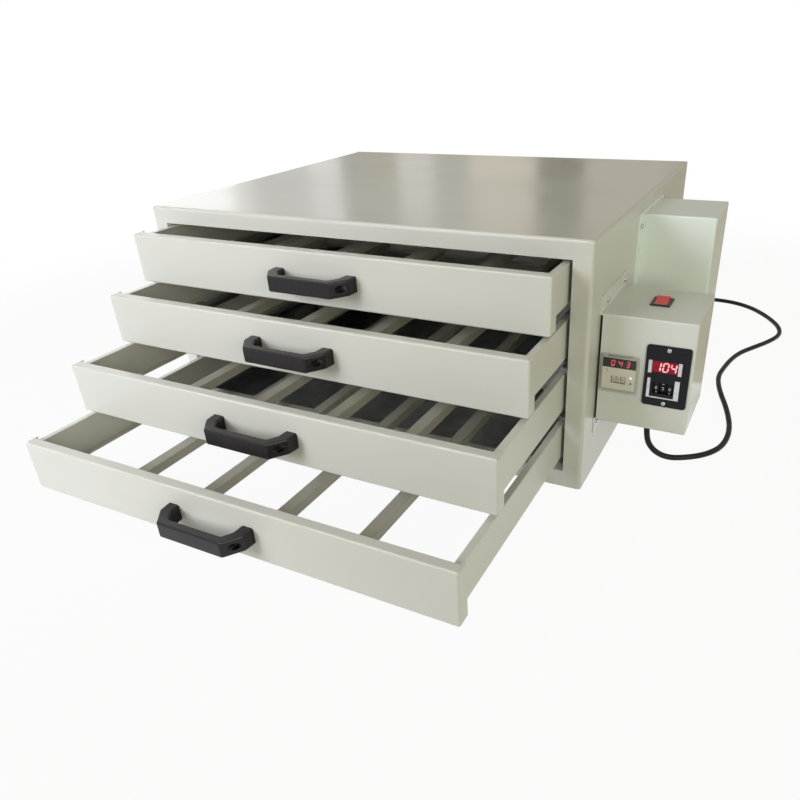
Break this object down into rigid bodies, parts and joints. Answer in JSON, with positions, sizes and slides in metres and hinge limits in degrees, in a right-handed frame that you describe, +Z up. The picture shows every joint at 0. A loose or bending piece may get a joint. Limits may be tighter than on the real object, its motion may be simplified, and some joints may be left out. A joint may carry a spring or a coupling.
{
  "type": "screen drying cabinet",
  "caption": "Low steel cabinet whose open-floored drawers dry framed screens, with a control box and a fan and heater housing on its right side.",
  "frame": {"origin": "middle of the cabinet's bottom face, on the floor", "axes": "+X to the right, +Y to the back, +Z up; drawers pull out towards -Y"},
  "size_m": [0.9314, 1.2479, 0.35],
  "materials": {
    "cabinet_paint": "semi-gloss powder coat, pale warm grey",
    "housing_paint": "semi-gloss powder coat, pale green-grey",
    "galvanised_sheet": "zinc-coated sheet",
    "screw_steel": "zinc-plated",
    "guard_chrome": "bright",
    "heater_steel": "drawn stainless steel",
    "fan_plastic": "moulded, black",
    "handle_plastic": "fine-grained, dark charcoal",
    "instrument_plastic": "moulded, black",
    "controller_face": "printed, beige grey",
    "red_window": "tinted dark red",
    "clear_cover": "clear polycarbonate",
    "trim_aluminium": "satin",
    "wheel_plastic": "moulded, black with pale digits",
    "pale_wheel_plastic": "moulded, beige grey with dark digits",
    "rocker_red": "translucent red",
    "terminal_plastic": "moulded, natural white",
    "relay_plastic": "smoke-coloured cap",
    "gland_plastic": "moulded, black",
    "cord_rubber": "smooth black sheath",
    "plug_rubber": "moulded black"
  },
  "bodies": {
    "cabinet": {"casing": "cabinet_paint", "front_frame": "cabinet_paint", "base_panel": "galvanised_sheet", "back_panel": "cabinet_paint", "back_screws": "screw_steel", "runners_left": "galvanised_sheet", "runners_right": "galvanised_sheet", "control_box": "housing_paint", "control_box_screws": "screw_steel", "fan_housing": "housing_paint", "fan_housing_screws": "screw_steel", "fan_frame": "fan_plastic", "fan_guard": "guard_chrome", "heater_element": "heater_steel", "heater_bracket": "galvanised_sheet", "temperature_probe": "heater_steel", "controller_case": "instrument_plastic", "controller_face": "controller_face", "controller_window": "red_window", "timer_plate": "instrument_plastic", "timer_case": "instrument_plastic", "timer_window": "red_window", "timer_frames": "trim_aluminium", "timer_screws": "screw_steel", "rocker_housing": "instrument_plastic", "terminal_block": "terminal_plastic", "power_relay": "relay_plastic", "cable_gland": "gland_plastic", "mains_cord": "cord_rubber", "cord_coil": "cord_rubber", "mains_plug": "plug_rubber"},
    "drawer_1": {"drawer_1_front": "cabinet_paint", "drawer_1_tray": "cabinet_paint", "drawer_1_bars": "cabinet_paint", "drawer_1_handle": "handle_plastic", "drawer_1_handle_screws": "screw_steel"},
    "drawer_2": {"drawer_2_front": "cabinet_paint", "drawer_2_tray": "cabinet_paint", "drawer_2_bars": "cabinet_paint", "drawer_2_handle": "handle_plastic", "drawer_2_handle_screws": "screw_steel"},
    "drawer_3": {"drawer_3_front": "cabinet_paint", "drawer_3_tray": "cabinet_paint", "drawer_3_bars": "cabinet_paint", "drawer_3_handle": "handle_plastic", "drawer_3_handle_screws": "screw_steel"},
    "drawer_4": {"drawer_4_front": "cabinet_paint", "drawer_4_tray": "cabinet_paint", "drawer_4_bars": "cabinet_paint", "drawer_4_handle": "handle_plastic", "drawer_4_handle_screws": "screw_steel"},
    "fan_rotor": {"fan_rotor": "fan_plastic"},
    "rocker_key": {"rocker_key": "rocker_red"},
    "controller_cover": {"controller_cover": "clear_cover"},
    "controller_wheel_1": {"controller_wheel_1": "pale_wheel_plastic"},
    "controller_wheel_2": {"controller_wheel_2": "pale_wheel_plastic"},
    "controller_wheel_3": {"controller_wheel_3": "pale_wheel_plastic"},
    "timer_wheel_1": {"timer_wheel_1": "wheel_plastic"},
    "timer_wheel_2": {"timer_wheel_2": "wheel_plastic"},
    "timer_wheel_3": {"timer_wheel_3": "wheel_plastic"}
  },
  "joints": [
    {"name": "drawer_1_slide", "type": "slide", "parent": "cabinet", "child": "drawer_1", "axis": [0, -1, 0], "range_m": [-0.07, 0.41]},
    {"name": "drawer_2_slide", "type": "slide", "parent": "cabinet", "child": "drawer_2", "axis": [0, -1, 0], "range_m": [-0.138, 0.342]},
    {"name": "drawer_3_slide", "type": "slide", "parent": "cabinet", "child": "drawer_3", "axis": [0, -1, 0], "range_m": [-0.23, 0.25]},
    {"name": "drawer_4_slide", "type": "slide", "parent": "cabinet", "child": "drawer_4", "axis": [0, -1, 0], "range_m": [-0.33, 0.15]},
    {"name": "fan_spin", "type": "hinge", "parent": "cabinet", "child": "fan_rotor", "pos_m": [0.412, 0.055, 0.271], "axis": [0, 1, 0], "continuous": true},
    {"name": "rocker_tilt", "type": "hinge", "parent": "cabinet", "child": "rocker_key", "pos_m": [0.424, -0.185, 0.2435], "axis": [1, 0, 0], "range_deg": [-18, 0]},
    {"name": "controller_cover_hinge", "type": "hinge", "parent": "cabinet", "child": "controller_cover", "pos_m": [0.3907, -0.2547, 0.1914], "axis": [-1, 0, 0], "range_deg": [0, 100]},
    {"name": "controller_wheel_1_turn", "type": "hinge", "parent": "cabinet", "child": "controller_wheel_1", "pos_m": [0.3845, -0.2479, 0.15732], "axis": [1, 0, 0], "continuous": true},
    {"name": "controller_wheel_2_turn", "type": "hinge", "parent": "cabinet", "child": "controller_wheel_2", "pos_m": [0.3907, -0.2479, 0.15732], "axis": [1, 0, 0], "continuous": true},
    {"name": "controller_wheel_3_turn", "type": "hinge", "parent": "cabinet", "child": "controller_wheel_3", "pos_m": [0.3969, -0.2479, 0.15732], "axis": [1, 0, 0], "continuous": true},
    {"name": "timer_wheel_1_turn", "type": "hinge", "parent": "cabinet", "child": "timer_wheel_1", "pos_m": [0.4402, -0.2426, 0.15375], "axis": [1, 0, 0], "continuous": true},
    {"name": "timer_wheel_2_turn", "type": "hinge", "parent": "cabinet", "child": "timer_wheel_2", "pos_m": [0.4488, -0.2426, 0.15375], "axis": [1, 0, 0], "continuous": true},
    {"name": "timer_wheel_3_turn", "type": "hinge", "parent": "cabinet", "child": "timer_wheel_3", "pos_m": [0.4574, -0.2426, 0.15375], "axis": [1, 0, 0], "continuous": true}
  ]
}
